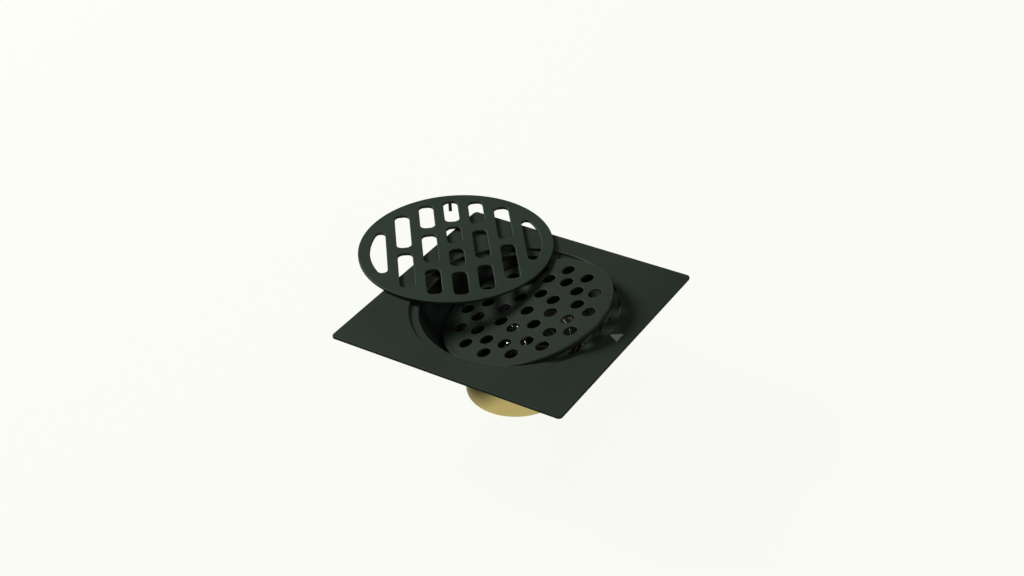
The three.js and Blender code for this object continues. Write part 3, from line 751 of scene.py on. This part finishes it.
def make_nut(sides=96, slope=0.62):
    """Hexagon nut whose corners are chamfered at both ends and whose hole is countersunk."""
    lo, hi = box_mm("retainer_nut")
    mouth_r, face_r = STEM_HOLE_R + 0.25, NUT_FLAT_R - 0.08

    def hexagon(z, sign):
        points = []
        for a in (TAU * k / sides for k in range(sides)):
            r = NUT_FLAT_R / math.cos(a % (TAU / 6) - TAU / 12)
            drop = sign * max(0, r - NUT_FLAT_R) * slope
            points.append((r * WITHIN * math.cos(a), r * WITHIN * math.sin(a), z - drop))
        return points

    build = Build()
    chain = [
        build.loop(circle(STEM_HOLE_R, lo.z + 0.25, sides)), build.loop(circle(mouth_r, lo.z, sides), 0.4),
        build.loop(circle(face_r, lo.z, sides), 0.3), build.loop(hexagon(lo.z + 0.04, -1), 1),
        build.loop(hexagon(hi.z - 0.04, 1), 1), build.loop(circle(face_r, hi.z, sides), 0.3),
        build.loop(circle(mouth_r, hi.z, sides), 0.4), build.loop(circle(STEM_HOLE_R, hi.z - 0.25, sides))]
    for a, b in zip(chain, chain[1:] + chain[:1]):
        build.bridge(a, b)
    return build.object("lock_nut", [STEEL], sharp=25)


def make_valve_disc():
    """The valve's plate, with two shallow channels underneath."""
    lo, hi = box_mm("valve_disc")
    channel = lo.z + 0.3
    return lathe("valve_plate", [
        (STEM_BORE, hi.z, 0.1), (STEM_BORE, lo.z, 0.15), (4.2, lo.z, 0.1), (4.5, channel, 0.2),
        (6.8, channel, 0.2), (7.1, lo.z, 0.15), (7.9, lo.z, 0.15), (8.2, channel, 0.2), (12.4, channel, 0.2),
        (12.8, lo.z, 0.2), (hi.x - 1, lo.z, 0.5), (hi.x, lo.z + 0.6, 0.4), (hi.x, hi.z, 0.25),
    ], [PLASTIC], ROUND_MID)


def make_valve_seal():
    """The valve's washer, with one sealing rib on top."""
    lo, hi = box_mm("valve_seal")
    bore, face = 11.4, hi.z - 0.25
    return lathe("valve_washer", [
        (bore, lo.z, 0.2), (hi.x, lo.z, 0.3), (hi.x, face, 0.2), (14.3, face, 0.1), (14.0, hi.z, 0.15),
        (13.0, hi.z, 0.15), (12.7, face, 0.1), (bore, face, 0.2)], [RUBBER], ROUND_MID)


def make_clamp():
    """The plate that clamps the seal, with a shallow ring channel on top."""
    lo, hi = box_mm("seal_clamp_plate")
    channel = hi.z - 0.2
    return lathe("clamp_washer", [
        (STEM_HOLE_R, lo.z, 0.1), (hi.x, lo.z, 0.15), (hi.x, hi.z, 0.25), (6.0, hi.z, 0.2),
        (5.6, channel, 0.2), (3.4, channel, 0.2), (3.0, hi.z, 0.2), (STEM_HOLE_R, hi.z, 0.15),
    ], [STEEL], ROUND_MID)


def make_screw(pitch=0.6, arm=1.5, wide=0.38, sides=64):
    """Pan head with a cross recess, seen from below, and a threaded shank."""
    lo, hi = box_mm("disc_screw")
    head_r, head_top = hi.x, lo.z + SCREW_HEAD_H
    start = 0.5     # the two corners at this radius are dropped, and the caps close the screw

    def cross(grow, z):
        a, w = arm + grow, wide + grow * 0.6
        points = []
        for k in range(4):
            c, s = math.cos(math.pi / 2 * k), math.sin(math.pi / 2 * k)
            points += [(c * x - s * y, s * x + c * y, z) for x, y in ((w, -w), (a, -w), (a, w))]
        return build.loop(points)

    def thread_r(wave, i, left):
        fade = min(1, i / 4, left / 8 + 0.3)
        return SCREW_SHANK_R * (1 - 0.14 * fade * wave)

    build = Build()
    outline = rounded([
        (start, lo.z, 0), (head_r - 0.6, lo.z, 0.4), (head_r, lo.z + 0.75, 0.6), (head_r, head_top, 0.15),
        (SCREW_SHANK_R, head_top, 0.1), (start, head_top, 0)], step=12)[1:-1]
    rings = build.turn(outline, sides, closed=False)
    mouth, deep = cross(0.05, lo.z), cross(-0.45, lo.z + 0.9)
    build.bridge(mouth, deep)
    build.cap(deep)
    build.cap(rings[0], [mouth])
    build.cap(threaded(build, rings[-1], head_top, hi.z, pitch, sides, thread_r))
    return build.object("cross_screw", [STEEL])


# ---------- pieces on their bodies ----------
PIECES = [
    (make_panel, "panel", "drain_body", "black_panel"),
    (make_bowl, "bowl", "drain_body", "brass"),
    (make_spigot, "outlet_spigot", "drain_body", "brass"),
    (make_cover, "cover_grille", "cover", "black_cover"),
    (lambda: make_lug("cover_lug_far", "lug_far"), "cover_lug_far", "cover", "black_cover"),
    (lambda: make_lug("cover_lug_near", "lug_near"), "cover_lug_near", "cover", "black_cover"),
    (make_strainer, "strainer_disc", "strainer", "black_strainer"),
    (make_housing, "trap_housing", "trap", "dark_plastic"),
    (make_gasket, "trap_flange_gasket", "trap", "rubber"),
    (make_oring, "trap_side_oring", "trap", "rubber"),
    (make_bush, "stem_bush", "trap", "brass"),
    (make_spring, "return_spring", "trap", "steel"),
    (make_stem, "valve_stem", "valve", "steel"),
    (make_retainer, "spring_retainer", "valve", "steel"),
    (make_nut, "retainer_nut", "valve", "steel"),
    (make_valve_disc, "valve_disc", "valve", "dark_plastic"),
    (make_valve_seal, "valve_seal", "valve", "rubber"),
    (make_clamp, "seal_clamp_plate", "valve", "steel"),
    (make_screw, "disc_screw", "valve", "steel"),
]
for make, node, body, slot in PIECES:
    piece = make()
    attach(piece, body)
    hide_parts(node)
    if node == "return_spring":
        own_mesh(piece)

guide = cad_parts["stem_guide"]
guide.data.materials.clear()
guide.data.materials.append(PLASTIC)
guide.data.polygons.foreach_set("use_smooth", [True] * len(guide.data.polygons))
guide.data.set_sharp_from_angle(angle=math.radians(30))
rounding = guide.modifiers.new("moulded edges", "BEVEL")
rounding.width, rounding.segments, rounding.limit_method = 0.2 * MM, 3, "ANGLE"
rounding.use_clamp_overlap = True


# ---------- stage ----------
FLOOR_HALF, FLOOR_BELOW = 4.0, 0.0002       # metres
PAPER = (0.92, 0.93, 0.89, 1)               # the floor as it lights the drain
PAPER_SEEN = (0.956, 0.965, 0.913, 1)       # the floor as the camera sees it
PAPER_MIRRORED = (0.95, 0.96, 0.90, 1)      # the floor's glow in reflections, which carries a painted shade on one side
SEEN_SHARE = 0.97                           # the rest of what the camera sees is the lit paper
FLOOR_IN_METAL = 0.02, 0.55                 # brightness of that glow, on the side of the painted shade and on the lit side
FLOOR_RAMP = -0.027, -0.013                 # metres from the middle, away from the painted shade's side
FLOOR_SHADE_SIDE = math.radians(212)          # compass direction of the painted shade, which stands in for the panel's shadow on the floor
CAMERA_AT, CAMERA_AIM = Vector((0.28495, -0.43215, 0.40254)), Vector((-0.00678, 0.009357, 0.0385))
CAMERA_LENS, CAMERA_SENSOR, CAMERA_ROLL = 58.24, 36.0, math.radians(-2.73)


def make_floor():
    """Pale paper: even to the camera; in reflections a glow that fades on one side, a painted shade standing
    in for the panel's shadow; clear from below.
    """
    mesh = bpy.data.meshes.new("floor")
    bm = bmesh.new()
    bmesh.ops.create_grid(bm, x_segments=8, y_segments=8, size=FLOOR_HALF)
    bm.to_mesh(mesh)
    bm.free()
    material = bpy.data.materials.new("pale_floor")
    material.use_nodes = True
    tree = material.node_tree
    tree.nodes.clear()

    def add(kind):
        return tree.nodes.new("ShaderNode" + kind)

    def mix(share, first, second):
        """A blend of two shaders; share is a number or the socket that gives it."""
        node = add("MixShader")
        if isinstance(share, float):
            node.inputs[0].default_value = share
        else:
            tree.links.new(share, node.inputs[0])
        tree.links.new(first.outputs[0], node.inputs[1])
        tree.links.new(second.outputs[0], node.inputs[2])
        return node

    paper, glow, reflected_glow = add("BsdfDiffuse"), add("Emission"), add("Emission")
    for node, colour in ((paper, PAPER), (glow, PAPER_SEEN), (reflected_glow, PAPER_MIRRORED)):
        node.inputs["Color"].default_value = colour
    # the reflected glow dims towards one side: painted shade in place of the panel's shadow
    where, along, light = add("TexCoord"), add("VectorMath"), add("MapRange")
    along.operation = "DOT_PRODUCT"
    along.inputs[1].default_value = (-math.cos(FLOOR_SHADE_SIDE), -math.sin(FLOOR_SHADE_SIDE), 0)
    light.inputs["From Min"].default_value, light.inputs["From Max"].default_value = FLOOR_RAMP
    light.inputs["To Min"].default_value, light.inputs["To Max"].default_value = FLOOR_IN_METAL
    tree.links.new(where.outputs["Object"], along.inputs[0])
    tree.links.new(along.outputs["Value"], light.inputs[0])
    tree.links.new(light.outputs[0], reflected_glow.inputs["Strength"])
    path, side = add("LightPath"), add("NewGeometry")
    lit = mix(path.outputs["Is Glossy Ray"], paper, reflected_glow)
    top = mix(path.outputs["Is Camera Ray"], lit, mix(SEEN_SHARE, paper, glow))
    floor = mix(side.outputs["Backfacing"], top, add("BsdfTransparent"))
    tree.links.new(floor.outputs[0], add("OutputMaterial").inputs[0])
    mesh.materials.append(material)
    obj = bpy.data.objects.new("floor", mesh)
    obj.location.z = CAD_BOX[0].z - FLOOR_BELOW
    bpy.context.scene.collection.objects.link(obj)


def softbox(name, azimuth, elevation, distance, size, power):
    """A rectangular soft light aimed at the drain; azimuth is its compass direction in degrees."""
    light = bpy.data.lights.new(name, "AREA")
    light.shape, light.size, light.size_y = "RECTANGLE", size[0], size[1]
    light.energy = power
    obj = bpy.data.objects.new(name, light)
    a, e = math.radians(azimuth), math.radians(elevation)
    aim = Vector((0, 0, TOP_Z * MM))
    away = Vector((math.cos(a) * math.cos(e), math.sin(a) * math.cos(e), math.sin(e)))
    obj.location = aim + distance * away
    obj.rotation_mode = "QUATERNION"
    obj.rotation_quaternion = (aim - obj.location).to_track_quat("-Z", "Y")
    bpy.context.scene.collection.objects.link(obj)


def make_world():
    world = bpy.data.worlds.new("studio")
    world.use_nodes = True
    sky = world.node_tree.nodes["Background"]
    sky.inputs["Color"].default_value = (0.95, 0.97, 0.93, 1)
    sky.inputs["Strength"].default_value = 0.05
    bpy.context.scene.world = world


def make_camera():
    data = bpy.data.cameras.new("camera")
    data.sensor_width, data.lens = CAMERA_SENSOR, CAMERA_LENS
    data.clip_start, data.clip_end = 0.01, 20
    obj = bpy.data.objects.new("camera", data)
    obj.location = CAMERA_AT
    obj.rotation_mode = "QUATERNION"
    level = (CAMERA_AIM - CAMERA_AT).to_track_quat("-Z", "Y")
    obj.rotation_quaternion = level @ Matrix.Rotation(CAMERA_ROLL, 3, "Z").to_quaternion()
    bpy.context.scene.collection.objects.link(obj)
    bpy.context.scene.camera = obj


make_floor()
make_world()
make_camera()
softbox("key", 176, 29, 1.5, (0.6, 0.45), 36)
softbox("top", 80, 66, 1.5, (0.8, 0.8), 5)
softbox("front", -30, 30, 1.2, (0.5, 0.35), 2.2)
bpy.context.scene.view_settings.view_transform = "Standard"

bpy.context.view_layer.update()
